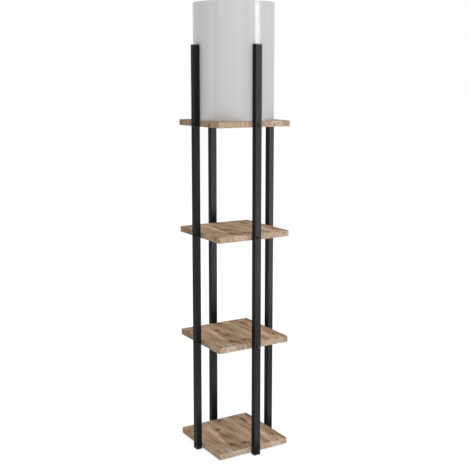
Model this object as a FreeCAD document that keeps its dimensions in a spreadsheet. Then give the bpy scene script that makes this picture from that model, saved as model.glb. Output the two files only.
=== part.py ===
import FreeCAD, Part
import os
import re
import Sketcher

# A floor lamp that is also a shelf unit. Four square boards are held one above the
# other by four tube posts, one at the middle of each side. The posts rise past the
# top board and stand around a tall white shade, which has a bulb and its holder inside.
# Millimetres, +Z up, origin on the floor at the middle of the four feet.

SHELVES = 4
SIDES = 4
LED_COUNT = 8
THREAD_TURNS = 4
TOLERANCE = 1e-6

# The posts by the side of the shelf that each stands at, and its turn about Z.
POST_TURNS = {"right": 0, "back": 90, "left": 180, "front": 270}

SIZES = {
    # Shelves
    "shelf_side": 250.0,            # square, over the edging
    "shelf_thickness": 18.0,
    "shelf_pitch": 340.0,           # from one top face to the next
    "shelf_ground_gap": 5.0,        # under the lowest shelf
    "board_corner": 2.5,            # radius of a board's upright corners
    "edging_thickness": 0.5,
    # Posts, rectangular tube
    "post_width": 22.0,             # along the shelf's side
    "post_depth": 18.0,             # away from the shelf
    "post_wall": 1.5,
    "post_corner": 0.8,             # radius of the tube's outer corners
    "post_rise": 225.0,             # from the top shelf's upper face to the post's top
    # Plastic plugs in the posts' ends
    "cap_plate": 3.0,
    "cap_plug": 12.0,
    "foot_plate": 4.0,
    "foot_margin": 0.5,             # how far a foot stands out past its tube
    "foot_screw_gap": 1.0,          # from a foot's plug to the lowest screw
    "plug_wall": 1.5,
    "plug_gap": 0.15,
    "plate_bevel": 0.6,
    # Screws through the posts into the shelves' sides
    "screw_diameter": 6.0,
    "screw_length": 35.0,
    "screw_head_diameter": 10.5,
    "screw_head_height": 3.3,
    "screw_head_bevel": 1.5,
    "screw_hole_gap": 0.25,
    "screw_end_gap": 1.0,           # from a screw's tip to the bottom of its hole
    "socket_flats": 4.0,
    "socket_depth": 2.0,
    "thread_gap": 0.05,             # between a thread and the wall that it runs in
    "insert_diameter": 10.0,
    "insert_length": 13.0,
    "insert_gap": 0.1,
    # Lampholder
    "nipple_diameter": 10.0,
    "nipple_wall": 1.0,
    "nipple_hole_gap": 0.25,
    "nipple_above": 3.0,            # past the cup's floor
    "nipple_below": 1.0,            # past the nut
    "seat_radius": 19.0,
    "seat_thickness": 1.5,
    "washer_radius": 14.0,
    "washer_thickness": 1.0,
    "nut_flats": 14.0,
    "nut_thickness": 3.0,
    "bush_flange_radius": 6.5,
    "bush_flange": 1.5,
    "bush_sleeve": 8.0,
    "bush_wall": 0.7,
    "bush_gap": 0.1,
    "cup_height": 22.0,
    "cup_wall": 2.0,
    "cup_floor": 3.0,
    "collar_wall": 1.8,             # ring on the cup's floor that carries the contact block
    "holder_gap": 0.15,             # between the holder's pieces that slide together
    "spigot_length": 14.0,
    "spigot_wall": 1.9,
    "shell_wall": 3.5,
    "shell_shoulder": 0.8,
    "shell_lip": 2.0,
    "block_base": 16.0,             # above the cup's underside
    "block_radius": 17.3,
    "block_thickness": 12.0,
    "terminal_radius": 9.5,         # from the lamp's axis to a terminal's middle
    "terminal_length": 7.0,
    "terminal_width": 6.0,
    "terminal_height": 7.0,
    "terminal_screw_diameter": 3.2,
    "terminal_screw_height": 2.0,
    "contact_width": 6.0,
    "contact_reach": 5.0,
    "contact_rise": 3.0,
    "contact_sheet": 0.6,
    "holder_depth": 24.0,           # from the bulb's contact to the holder's rim
    "sleeve_wall": 0.5,
    "sleeve_setback": 2.0,          # from the holder's rim to the threaded sleeve
    # Bulb
    "bulb_gap": 0.3,                # between the bulb and what it turns in
    "tip_radius": 4.5,
    "tip_height": 2.0,
    "tip_bevel": 0.8,
    "insulator_foot": 5.5,
    "insulator_radius": 11.5,
    "insulator_height": 5.0,
    "screw_cap_radius": 13.2,
    "screw_cap_wall": 0.4,
    "screw_cap_bevel": 2.0,
    "screw_cap_collar": 3.52,       # plain part above the thread
    "thread_pitch": 3.62,
    "thread_depth": 1.0,
    "housing_foot": 14.0,
    "housing_height": 35.0,
    "housing_wall": 1.5,
    "housing_hole": 8.0,
    "globe_radius": 30.0,
    "globe_drop": 18.0,             # from the globe's middle down to its rim
    "globe_wall": 1.2,
    "led_board_thickness": 1.5,
    "led_board_gap": 0.7,
    "led_circle": 13.0,
    "led_side": 3.0,
    "led_height": 0.8,
    "driver_width": 16.0,
    "driver_thickness": 1.6,
    "driver_height": 28.0,
    # Shade
    "shade_height": 350.0,
    "shade_wall": 2.5,
    "shade_gap": 0.4,               # between the shade and the posts around it
    "shade_rim": 0.8,
}


def shelf_base(number):
    """Height of a shelf's underside, counted from the lowest shelf, number 1."""
    return f"(shelf_ground_gap + {number - 1} * shelf_pitch)"


# Faces and heights that several pieces share, as formulas of the sizes.
SHELF_FACE = "(shelf_side / 2)"
BOARD_FACE = f"({SHELF_FACE} - edging_thickness)"
POST_FACE = f"({SHELF_FACE} + post_depth)"
LOWEST_SCREW = f"({shelf_base(1)} + shelf_thickness / 2)"
TOP_FACE = f"({shelf_base(SHELVES)} + shelf_thickness)"
TUBE_TOP = f"({TOP_FACE} + post_rise - cap_plate)"
FOOT_PLUG = f"({LOWEST_SCREW} - screw_diameter / 2 - foot_screw_gap - foot_plate)"
SCREW_HOLE = "(screw_diameter / 2 + screw_hole_gap)"
INSERT_HOLE = "(insert_diameter / 2 + insert_gap)"
SCREW_REACH = "(screw_length - post_depth + screw_end_gap)"

NIPPLE_HOLE = "(nipple_diameter / 2 + nipple_hole_gap)"
NIPPLE_THREAD = "(nipple_diameter / 2 + thread_gap)"
NIPPLE_BORE = "(nipple_diameter / 2 - nipple_wall)"
CUP_BASE = f"({TOP_FACE} + seat_thickness)"
CUP_TOP = f"({CUP_BASE} + cup_height)"
BLOCK_BASE = f"({CUP_BASE} + block_base)"
BLOCK_BORE = "(block_radius + holder_gap)"
SPIGOT_FACE = f"({BLOCK_BORE} + spigot_wall)"
CUP_BORE = f"({SPIGOT_FACE} + holder_gap)"
CUP_RADIUS = f"({CUP_BORE} + cup_wall)"
SHELL_BORE = "(block_radius - shell_shoulder)"
SHELL_RADIUS = f"({SHELL_BORE} + shell_wall)"
BLOCK_TOP = f"({BLOCK_BASE} + block_thickness)"
BULB_BASE = f"({BLOCK_TOP} + contact_rise + bulb_gap)"
SHELL_TOP = f"({BULB_BASE} + holder_depth)"
SLEEVE_BORE = "(screw_cap_radius + bulb_gap)"
WASHER_BASE = f"({shelf_base(SHELVES)} - washer_thickness)"
NUT_BASE = f"({WASHER_BASE} - nut_thickness)"
NIPPLE_BASE = f"({NUT_BASE} - nipple_below)"

INSULATOR_BASE = f"({BULB_BASE} + tip_height)"
SCREW_CAP_BASE = f"({INSULATOR_BASE} + insulator_height)"
FIRST_CREST = f"({SCREW_CAP_BASE} + screw_cap_bevel)"
LAST_CREST = f"({FIRST_CREST} + {THREAD_TURNS} * thread_pitch)"
SCREW_CAP_TOP = f"({LAST_CREST} + screw_cap_collar)"
HOUSING_TOP = f"({SCREW_CAP_TOP} + housing_height)"
LED_BOARD_BASE = f"({HOUSING_TOP} - led_board_thickness)"
GLOBE_RIM = "sqrt(globe_radius * globe_radius - globe_drop * globe_drop)"


# Sketches and features

def bound(formula):
    """The formula with each size's name turned into its cell of the sheet."""
    return re.sub(r"[a-z]\w*", lambda word: cell_of(word[0]), formula)


def cell_of(word):
    return f"Sizes.{word}" if word in SIZES else word


def fill_sheet(sheet):
    for row, (name, value) in enumerate(SIZES.items(), start=1):
        sheet.set(f"A{row}", name)
        sheet.set(f"B{row}", str(value))
        sheet.setAlias(f"B{row}", name)


def add_body(doc, label, turn=0):
    body = doc.addObject("PartDesign::Body", label)
    body.Label = label
    body.Placement.Rotation = FreeCAD.Rotation(FreeCAD.Vector(0, 0, 1), turn)
    return body


def origin_item(body, role):
    return next(item for item in body.Origin.OriginFeatures if item.Role == role)


def add_sketch(body, plane, **offsets):
    """A sketch on one of the body's own planes, moved in the sketch's x, y and z."""
    sketch = body.newObject("Sketcher::SketchObject", f"{body.Name}_sketch")
    sketch.AttachmentSupport = [(origin_item(body, plane), "")]
    sketch.MapMode = "FlatFace"
    for axis, formula in offsets.items():
        sketch.setExpression(f"AttachmentOffset.Base.{axis}", bound(formula))
    return sketch


def bind_point(sketch, line, corner):
    """Ties the line's first point to the formulas of its x and y."""
    start = sketch.Geometry[line].StartPoint
    for kind, value, formula in (("DistanceX", start.x, corner[0]), ("DistanceY", start.y, corner[1])):
        index = sketch.addConstraint(Sketcher.Constraint(kind, -1, 1, line, 1, value))
        sketch.setExpression(f"Constraints[{index}]", bound(formula))


def draw_loop(sketch, corners):
    """A closed outline through corners, each a pair of formulas."""
    count = len(corners)
    ring = Part.makePolygon([
        FreeCAD.Rotation(FreeCAD.Vector(0, 0, 1), 360 * step / count) * FreeCAD.Vector(1, 0, 0)
        for step in range(count + 1)
    ])
    starts = [vertex.Point for vertex in ring.Vertexes]
    lines = [
        sketch.addGeometry(Part.LineSegment(starts[step], starts[(step + 1) % count]), False)
        for step in range(count)
    ]
    for step, line in enumerate(lines):
        sketch.addConstraint(Sketcher.Constraint("Coincident", line, 2, lines[(step + 1) % count], 1))
    for line, corner in zip(lines, corners):
        bind_point(sketch, line, corner)


def draw_rectangle(sketch, left, right, low, high):
    draw_loop(sketch, [(left, low), (right, low), (right, high), (left, high)])


def draw_square(sketch, half):
    draw_rectangle(sketch, f"-{half}", half, f"-{half}", half)


def draw_hexagon(sketch, flats):
    draw_loop(sketch, [
        (f"{flats} / sqrt(3) * cos({turn})", f"{flats} / sqrt(3) * sin({turn})")
        for turn in range(0, 360, 60)
    ])


def draw_circle(sketch, radius):
    circle = sketch.addGeometry(Part.Circle(FreeCAD.Vector(0, 0, 0), FreeCAD.Vector(0, 0, 1), 1), False)
    sketch.addConstraint(Sketcher.Constraint("Coincident", circle, 3, -1, 1))
    index = sketch.addConstraint(Sketcher.Constraint("Radius", circle, 1))
    sketch.setExpression(f"Constraints[{index}]", bound(radius))


def add_pad(body, sketch, length, middle=False):
    pad = body.newObject("PartDesign::Pad", f"{body.Name}_pad")
    pad.Profile = sketch
    pad.Midplane = middle
    pad.setExpression("Length", bound(length))
    body.Document.recompute()
    return pad


def add_pocket(body, sketch, length="", outward=False):
    """A cut of the sketch, through everything where no length is given."""
    before = body.Shape.Volume
    pocket = body.newObject("PartDesign::Pocket", f"{body.Name}_pocket")
    pocket.Profile = sketch
    pocket.Reversed = outward
    if length:
        pocket.setExpression("Length", bound(length))
    else:
        pocket.Type = "ThroughAll"
    body.Document.recompute()
    if body.Shape.Volume >= before:
        raise ValueError(f"{pocket.Label} cuts nothing")
    return pocket


def add_turned(body, corners, axis="V_Axis", height="0"):
    """A solid turned from an outline on the XZ plane, about the sketch's own axis."""
    sketch = add_sketch(body, "XZ_Plane", y=height)
    draw_loop(sketch, corners)
    turned = body.newObject("PartDesign::Revolution", f"{body.Name}_turned")
    turned.Profile = sketch
    turned.ReferenceAxis = (sketch, [axis])
    turned.Angle = 360
    body.Document.recompute()
    return turned


def repeat_round(body, feature, count):
    polar = body.newObject("PartDesign::PolarPattern", f"{body.Name}_polar")
    polar.Originals = [feature]
    polar.Axis = (origin_item(body, "Z_Axis"), [""])
    polar.Angle = 360
    polar.Occurrences = count
    body.Tip = polar
    body.Document.recompute()
    return polar


def repeat_up(body, features):
    """One copy at the height of each shelf."""
    rows = body.newObject("PartDesign::LinearPattern", f"{body.Name}_rows")
    rows.Originals = features
    rows.Direction = (origin_item(body, "Z_Axis"), [""])
    rows.setExpression("Length", bound(f"{SHELVES - 1} * shelf_pitch"))
    rows.Occurrences = SHELVES
    body.Tip = rows
    body.Document.recompute()
    return rows


def edges_where(feature, test):
    """Names of the feature's edges whose two ends pass the test."""
    return [
        f"Edge{number}"
        for number, edge in enumerate(feature.Shape.Edges, start=1)
        if test(edge.Vertexes[0].Point, edge.Vertexes[-1].Point)
    ]


def is_upright(start, end):
    return abs(start.x - end.x) + abs(start.y - end.y) < TOLERANCE < abs(start.z - end.z)


def level_at(height):
    return lambda start, end: abs(start.z - height) + abs(end.z - height) < TOLERANCE


def add_fillet(body, base, edges, radius):
    fillet = body.newObject("PartDesign::Fillet", f"{body.Name}_fillet")
    fillet.Base = (base, edges)
    fillet.setExpression("Radius", bound(radius))
    body.Document.recompute()
    return fillet


def add_chamfer(body, base, edges, size):
    chamfer = body.newObject("PartDesign::Chamfer", f"{body.Name}_chamfer")
    chamfer.Base = (base, edges)
    chamfer.setExpression("Size", bound(size))
    body.Document.recompute()
    return chamfer


# Posts

def draw_post_outline(sketch, inset):
    """The tube's outline, drawn in by the inset all round."""
    half = f"(post_width / 2 - {inset})"
    draw_rectangle(sketch, f"{SHELF_FACE} + {inset}", f"{POST_FACE} - {inset}", f"-{half}", half)


def post(doc, side):
    body = add_body(doc, f"post_{side}", POST_TURNS[side])
    outline = add_sketch(body, "XY_Plane", z="foot_plate")
    draw_post_outline(outline, "0")
    bar = add_pad(body, outline, f"{TUBE_TOP} - foot_plate")
    add_fillet(body, bar, edges_where(bar, is_upright), "post_corner")
    bore = add_sketch(body, "XY_Plane")
    draw_post_outline(bore, "post_wall")
    add_pocket(body, bore, outward=True)
    hole = add_sketch(body, "YZ_Plane", y=LOWEST_SCREW)
    draw_circle(hole, SCREW_HOLE)
    repeat_up(body, [add_pocket(body, hole, outward=True)])
    return body


def end_plug(body, plate_base, plate_height, margin, plug_base, plug_height):
    """A plate over a tube's end and a hollow plug inside the tube."""
    plate = add_sketch(body, "XY_Plane", z=plate_base)
    draw_post_outline(plate, f"(0 - {margin})")
    add_pad(body, plate, plate_height)
    plug = add_sketch(body, "XY_Plane", z=plug_base)
    draw_post_outline(plug, "(post_wall + plug_gap)")
    draw_post_outline(plug, "(post_wall + plug_gap + plug_wall)")
    return add_pad(body, plug, plug_height)


def post_cap(doc, side):
    body = add_body(doc, f"post_{side}_cap", POST_TURNS[side])
    solid = end_plug(body, TUBE_TOP, "cap_plate", "0", f"{TUBE_TOP} - cap_plug", "cap_plug")
    outer_edges = edges_where(solid, level_at(solid.Shape.BoundBox.ZMax))
    add_chamfer(body, solid, outer_edges, "plate_bevel")
    return body


def post_foot(doc, side):
    body = add_body(doc, f"post_{side}_foot", POST_TURNS[side])
    solid = end_plug(body, "0", "foot_plate", "foot_margin", "foot_plate", FOOT_PLUG)
    outer_edges = edges_where(solid, level_at(solid.Shape.BoundBox.ZMin))
    add_chamfer(body, solid, outer_edges, "plate_bevel")
    return body


def post_screws(doc, side):
    """Four button-head screws, one at each shelf, with a hexagon socket."""
    body = add_body(doc, f"post_{side}_screws", POST_TURNS[side])
    tip = f"{POST_FACE} - screw_length"
    crown = f"{POST_FACE} + screw_head_height"
    screw = add_turned(body, [
        (tip, "0"),
        (crown, "0"),
        (crown, "screw_head_diameter / 2 - screw_head_bevel"),
        (f"{crown} - screw_head_bevel", "screw_head_diameter / 2"),
        (POST_FACE, "screw_head_diameter / 2"),
        (POST_FACE, "screw_diameter / 2"),
        (tip, "screw_diameter / 2"),
    ], axis="H_Axis", height=LOWEST_SCREW)
    socket = add_sketch(body, "YZ_Plane", y=LOWEST_SCREW, z=crown)
    draw_hexagon(socket, "socket_flats")
    repeat_up(body, [screw, add_pocket(body, socket, "socket_depth")])
    return body


# Shelves

def square_slab(body, number, half):
    """A square slab at a shelf's height."""
    outline = add_sketch(body, "XY_Plane", z=shelf_base(number))
    draw_square(outline, half)
    return add_pad(body, outline, "shelf_thickness")


def drill_sides(body, number, depth):
    """A hole for the threaded insert in the middle of each side."""
    hole = add_sketch(body, "YZ_Plane", y=f"{shelf_base(number)} + shelf_thickness / 2", z=SHELF_FACE)
    draw_circle(hole, INSERT_HOLE)
    repeat_round(body, add_pocket(body, hole, depth), SIDES)


def shelf_board(doc, number):
    body = add_body(doc, f"shelf_{number}_board")
    slab = square_slab(body, number, BOARD_FACE)
    add_fillet(body, slab, edges_where(slab, is_upright), "board_corner")
    if number == SHELVES:
        hole = add_sketch(body, "XY_Plane")
        draw_circle(hole, NIPPLE_HOLE)
        add_pocket(body, hole, outward=True)
    drill_sides(body, number, SCREW_REACH)
    return body


def shelf_edging(doc, number):
    """The thin band around a board, with the same holes."""
    body = add_body(doc, f"shelf_{number}_edging")
    outer_face = square_slab(body, number, SHELF_FACE).Shape.BoundBox.XMax
    window = add_sketch(body, "XY_Plane")
    draw_square(window, BOARD_FACE)
    band = add_pocket(body, window, outward=True)
    inner_corners = edges_where(band, lambda start, end: (
        is_upright(start, end) and outer_face - abs(start.x) > TOLERANCE
    ))
    band = add_fillet(body, band, inner_corners, "board_corner")
    outer_corners = edges_where(band, lambda start, end: (
        is_upright(start, end) and outer_face - abs(start.x) < TOLERANCE > outer_face - abs(start.y)
    ))
    add_fillet(body, band, outer_corners, "board_corner + edging_thickness")
    drill_sides(body, number, SCREW_REACH)
    return body


def shelf_inserts(doc, number):
    """Threaded sleeves in a board's four sides, flush with the edging."""
    body = add_body(doc, f"shelf_{number}_inserts")
    inner_end = f"{SHELF_FACE} - insert_length"
    bore = "(screw_diameter / 2 + thread_gap)"
    sleeve = add_turned(body, [
        (inner_end, bore),
        (SHELF_FACE, bore),
        (SHELF_FACE, "insert_diameter / 2"),
        (inner_end, "insert_diameter / 2"),
    ], axis="H_Axis", height=f"{shelf_base(number)} + shelf_thickness / 2")
    repeat_round(body, sleeve, SIDES)
    return body


# Lampholder

def turned_part(doc, label, corners):
    body = add_body(doc, label)
    add_turned(body, corners)
    return body


def ring_part(doc, label, inner, outer, base, height):
    """A plain round piece with a hole, such as a washer or a sleeve."""
    top = f"({base} + {height})"
    return turned_part(doc, label, [(inner, base), (outer, base), (outer, top), (inner, top)])


def holder_nut(doc):
    body = add_body(doc, "holder_nut")
    outline = add_sketch(body, "XY_Plane", z=NUT_BASE)
    draw_hexagon(outline, "nut_flats")
    draw_circle(outline, NIPPLE_THREAD)
    add_pad(body, outline, "nut_thickness")
    return body


def cord_inlet_bush(doc):
    """The flanged bush that guards a cord at the nipple's lower end."""
    sleeve = f"({NIPPLE_BORE} - bush_gap)"
    cord_bore = f"({sleeve} - bush_wall)"
    return turned_part(doc, "cord_inlet_bush", [
        (cord_bore, f"{NIPPLE_BASE} - bush_flange"),
        ("bush_flange_radius", f"{NIPPLE_BASE} - bush_flange"),
        ("bush_flange_radius", NIPPLE_BASE),
        (sleeve, NIPPLE_BASE),
        (sleeve, f"{NIPPLE_BASE} + bush_sleeve"),
        (cord_bore, f"{NIPPLE_BASE} + bush_sleeve"),
    ])


def holder_cup(doc):
    floor = f"{CUP_BASE} + cup_floor"
    return turned_part(doc, "holder_cup", [
        (NIPPLE_THREAD, CUP_BASE),
        (CUP_RADIUS, CUP_BASE),
        (CUP_RADIUS, CUP_TOP),
        (CUP_BORE, CUP_TOP),
        (CUP_BORE, floor),
        ("block_radius", floor),
        ("block_radius", BLOCK_BASE),
        ("block_radius - collar_wall", BLOCK_BASE),
        ("block_radius - collar_wall", floor),
        (NIPPLE_THREAD, floor),
    ])


def holder_shell(doc):
    """The upper half, whose spigot slides between the cup's wall and its collar."""
    spigot_base = f"{CUP_TOP} - spigot_length"
    mouth = f"({SLEEVE_BORE} + sleeve_wall + holder_gap)"
    lip = f"{SHELL_TOP} - shell_lip"
    return turned_part(doc, "holder_shell", [
        (BLOCK_BORE, spigot_base),
        (SPIGOT_FACE, spigot_base),
        (SPIGOT_FACE, CUP_TOP),
        (SHELL_RADIUS, CUP_TOP),
        (SHELL_RADIUS, SHELL_TOP),
        (mouth, SHELL_TOP),
        (mouth, lip),
        (SHELL_BORE, lip),
        (SHELL_BORE, BLOCK_TOP),
        (BLOCK_BORE, BLOCK_TOP),
    ])


def holder_block(doc):
    body = add_body(doc, "holder_contact_block")
    outline = add_sketch(body, "XY_Plane", z=BLOCK_BASE)
    draw_circle(outline, "block_radius")
    add_pad(body, outline, "block_thickness")
    return body


def holder_contact(doc):
    """The sprung tongue that the bulb's tip presses on."""
    body = add_body(doc, "holder_centre_contact")
    bend = "contact_reach / 2"
    crest = "(contact_rise - contact_sheet)"
    outline = add_sketch(body, "XZ_Plane", y=BLOCK_TOP)
    draw_loop(outline, [
        ("-contact_reach", "0"),
        (f"-{bend}", "0"),
        (bend, crest),
        ("contact_reach", crest),
        ("contact_reach", "contact_rise"),
        (f"{bend} - contact_sheet", "contact_rise"),
        (f"-{bend} - contact_sheet", "contact_sheet"),
        ("-contact_reach", "contact_sheet"),
    ])
    add_pad(body, outline, "contact_width", middle=True)
    return body


def holder_terminals(doc):
    body = add_body(doc, "holder_terminals")
    outline = add_sketch(body, "XY_Plane", z=f"{BLOCK_BASE} - terminal_height")
    draw_rectangle(
        outline,
        "terminal_radius - terminal_length / 2",
        "terminal_radius + terminal_length / 2",
        "-terminal_width / 2",
        "terminal_width / 2",
    )
    repeat_round(body, add_pad(body, outline, "terminal_height"), 2)
    return body


def holder_terminal_screws(doc):
    body = add_body(doc, "holder_terminal_screws")
    head_base = f"{BLOCK_BASE} - terminal_height - terminal_screw_height"
    outline = add_sketch(body, "XY_Plane", x="terminal_radius", z=head_base)
    draw_circle(outline, "terminal_screw_diameter / 2")
    repeat_round(body, add_pad(body, outline, "terminal_screw_height"), 2)
    return body


# Bulb

def bulb_tip(doc):
    tip = f"({BULB_BASE} + tip_bevel)"
    return turned_part(doc, "bulb_tip", [
        ("0", BULB_BASE),
        ("tip_radius - tip_bevel", BULB_BASE),
        ("tip_radius", tip),
        ("tip_radius", INSULATOR_BASE),
        ("0", INSULATOR_BASE),
    ])


def bulb_insulator(doc):
    return turned_part(doc, "bulb_insulator", [
        ("0", INSULATOR_BASE),
        ("insulator_foot", INSULATOR_BASE),
        ("insulator_radius", SCREW_CAP_BASE),
        ("0", SCREW_CAP_BASE),
    ])


def bulb_screw_cap(doc):
    """The metal cap with its rolled thread, drawn as ridges."""
    root = "(screw_cap_radius - thread_depth)"
    inside = f"({root} - screw_cap_wall)"
    thread = []
    for turn in range(THREAD_TURNS):
        thread.append(("screw_cap_radius", f"{FIRST_CREST} + {turn} * thread_pitch"))
        thread.append((root, f"{FIRST_CREST} + ({turn} + 1 / 2) * thread_pitch"))
    return turned_part(doc, "bulb_screw_cap", [
        ("insulator_radius - screw_cap_wall", SCREW_CAP_BASE),
        ("insulator_radius", SCREW_CAP_BASE),
        *thread,
        ("screw_cap_radius", LAST_CREST),
        ("screw_cap_radius", SCREW_CAP_TOP),
        (inside, SCREW_CAP_TOP),
        (inside, FIRST_CREST),
    ])


def bulb_housing(doc):
    floor = f"{SCREW_CAP_TOP} + housing_wall"
    return turned_part(doc, "bulb_housing", [
        ("housing_hole", SCREW_CAP_TOP),
        ("housing_foot", SCREW_CAP_TOP),
        (GLOBE_RIM, HOUSING_TOP),
        (f"{GLOBE_RIM} - housing_wall", HOUSING_TOP),
        ("housing_foot - housing_wall", floor),
        ("housing_hole", floor),
    ])


def bulb_led_board(doc):
    body = add_body(doc, "bulb_led_board")
    outline = add_sketch(body, "XY_Plane", z=LED_BOARD_BASE)
    draw_circle(outline, f"{GLOBE_RIM} - housing_wall - led_board_gap")
    add_pad(body, outline, "led_board_thickness")
    return body


def bulb_leds(doc):
    body = add_body(doc, "bulb_leds")
    outline = add_sketch(body, "XY_Plane", x="led_circle", z=HOUSING_TOP)
    draw_square(outline, "led_side / 2")
    repeat_round(body, add_pad(body, outline, "led_height"), LED_COUNT)
    return body


def bulb_driver(doc):
    body = add_body(doc, "bulb_driver_board")
    outline = add_sketch(body, "XY_Plane", z=f"{LED_BOARD_BASE} - driver_height")
    draw_rectangle(
        outline, "-driver_width / 2", "driver_width / 2", "-driver_thickness / 2", "driver_thickness / 2",
    )
    add_pad(body, outline, "driver_height")
    return body


def globe_sphere(doc, name, radius):
    sphere = doc.addObject("Part::Sphere", name)
    sphere.setExpression("Radius", bound(radius))
    sphere.setExpression("Placement.Base.z", bound(f"{HOUSING_TOP} + globe_drop"))
    return sphere


def bulb_globe(doc):
    outside = globe_sphere(doc, "bulb_globe_outside", "globe_radius")
    outside.setExpression("Angle1", bound("-asin(globe_drop / globe_radius)"))
    globe = doc.addObject("Part::Cut", "bulb_globe")
    globe.Label = "bulb_globe"
    globe.Base = outside
    globe.Tool = globe_sphere(doc, "bulb_globe_inside", "globe_radius - globe_wall")
    doc.recompute()
    return globe


# Shade

def shade(doc):
    body = add_body(doc, "shade")
    outline = add_sketch(body, "XY_Plane", z=TOP_FACE)
    draw_circle(outline, f"{SHELF_FACE} - shade_gap")
    draw_circle(outline, f"{SHELF_FACE} - shade_gap - shade_wall")
    tube = add_pad(body, outline, "shade_height")
    add_fillet(body, tube, edges_where(tube, level_at(tube.Shape.BoundBox.ZMax)), "shade_rim")
    return body


# The whole lamp

def build_posts(doc):
    makers = (post, post_cap, post_foot, post_screws)
    return [make(doc, side) for side in POST_TURNS for make in makers]


def build_shelves(doc):
    makers = (shelf_board, shelf_edging, shelf_inserts)
    return [make(doc, number + 1) for number in range(SHELVES) for make in makers]


def build_holder(doc):
    nipple_length = f"({CUP_BASE} + cup_floor + nipple_above - {NIPPLE_BASE})"
    sleeve_length = f"({SHELL_TOP} - sleeve_setback - {BLOCK_TOP})"
    return [
        ring_part(doc, "holder_seat", NIPPLE_HOLE, "seat_radius", TOP_FACE, "seat_thickness"),
        ring_part(doc, "holder_nipple", NIPPLE_BORE, "nipple_diameter / 2", NIPPLE_BASE, nipple_length),
        ring_part(doc, "holder_washer", NIPPLE_HOLE, "washer_radius", WASHER_BASE, "washer_thickness"),
        holder_nut(doc),
        cord_inlet_bush(doc),
        holder_cup(doc),
        holder_shell(doc),
        holder_block(doc),
        holder_contact(doc),
        holder_terminals(doc),
        holder_terminal_screws(doc),
        ring_part(
            doc, "holder_sleeve", SLEEVE_BORE, f"{SLEEVE_BORE} + sleeve_wall", BLOCK_TOP, sleeve_length,
        ),
    ]


def build_bulb(doc):
    makers = (
        bulb_tip, bulb_insulator, bulb_screw_cap, bulb_housing, bulb_driver, bulb_led_board, bulb_leds, bulb_globe,
    )
    return [make(doc) for make in makers]


def check_document(doc, parts):
    for item in doc.Objects:
        if "Invalid" in item.State or "Error" in item.State:
            raise ValueError(f"{item.Label} did not build: {item.State}")
    for piece in parts:
        if piece.Shape.isNull() or not piece.Shape.isValid():
            raise ValueError(f"{piece.Label} has no valid shape")


def main():
    doc = FreeCAD.newDocument("shelf_floor_lamp")
    fill_sheet(doc.addObject("Spreadsheet::Sheet", "Sizes"))
    doc.recompute()
    parts = build_posts(doc) + build_shelves(doc) + build_holder(doc) + build_bulb(doc) + [shade(doc)]
    doc.recompute()
    check_document(doc, parts)
    os.makedirs("parts", exist_ok=True)
    for piece in parts:
        piece.Shape.exportStep(f"parts/{piece.Label}.step")
        box = piece.Shape.BoundBox
        print(f"{piece.Label}: {len(piece.Shape.Solids)} solids, {piece.Shape.Volume:.1f} mm3, "
              f"z {box.ZMin:.2f} to {box.ZMax:.2f}")


main()
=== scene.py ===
import math

import bpy
from bpy.props import FloatProperty, FloatVectorProperty, IntProperty, PointerProperty
from mathutils import Matrix, Vector


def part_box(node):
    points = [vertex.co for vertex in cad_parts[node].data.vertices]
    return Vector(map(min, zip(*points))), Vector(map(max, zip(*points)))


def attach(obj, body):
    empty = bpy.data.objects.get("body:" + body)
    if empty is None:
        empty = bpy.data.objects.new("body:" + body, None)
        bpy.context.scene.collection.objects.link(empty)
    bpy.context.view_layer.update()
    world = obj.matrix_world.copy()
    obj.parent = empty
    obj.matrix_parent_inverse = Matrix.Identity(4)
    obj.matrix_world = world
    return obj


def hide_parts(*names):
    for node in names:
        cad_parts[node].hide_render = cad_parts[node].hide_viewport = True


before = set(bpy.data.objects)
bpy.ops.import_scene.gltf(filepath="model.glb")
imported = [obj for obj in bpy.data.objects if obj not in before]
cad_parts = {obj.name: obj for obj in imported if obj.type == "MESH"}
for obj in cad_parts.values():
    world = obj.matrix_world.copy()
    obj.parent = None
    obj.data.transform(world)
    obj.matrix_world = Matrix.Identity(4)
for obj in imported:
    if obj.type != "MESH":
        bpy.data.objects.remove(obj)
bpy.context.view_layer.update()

bl_info = {
    "name": "Shelf Floor Lamp",
    "version": (1, 0, 0),
    "blender": (4, 5, 0),
    "location": "3D View > Sidebar > Shelf Lamp",
    "description": "Floor lamp with four square shelves, four tube posts and a tall opal shade",
    "category": "Object",
}

MM = 0.001
SIDES = {"right": 0, "back": 90, "left": 180, "front": 270}     # turn of each post's side about Z, degrees
SHELVES = (1, 2, 3, 4)
TOUCH = 1e-6            # closer than this, in metres, two points of a piece are one
PLAY = 0.15 * MM        # between pieces of the lampholder that slide into each other


# Colours and nodes

def linear(hex_colour):
    """A colour written as sRGB hex, as the linear values that the shader works with."""
    channels = [int(hex_colour[at:at + 2], 16) / 255 for at in (0, 2, 4)]
    return [c / 12.92 if c <= 0.04045 else ((c + 0.055) / 1.055) ** 2.4 for c in channels]


def feed(tree, node, values):
    """Sets inputs of a node, or links those whose value is an output, or a node for its first output."""
    for key, value in values.items():
        if isinstance(value, bpy.types.Node):
            value = value.outputs[0]
        if isinstance(value, bpy.types.NodeSocket):
            tree.links.new(value, node.inputs[key])
        else:
            node.inputs[key].default_value = value


def add_node(tree, kind, values=None, **settings):
    """Adds a node with its settings, and feeds it the values."""
    node = tree.nodes.new(f"ShaderNode{kind}")
    for name, setting in settings.items():
        setattr(node, name, setting)
    feed(tree, node, values or {})
    return node


def start_material(name, constants):
    """A material with one Principled shader, which gets the constants, and the place on the object."""
    material = bpy.data.materials.new(name)
    material.use_nodes = True
    tree = material.node_tree
    shader = tree.nodes["Principled BSDF"]
    feed(tree, shader, constants)
    return material, tree, shader, add_node(tree, "TexCoord").outputs["Object"]


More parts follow.
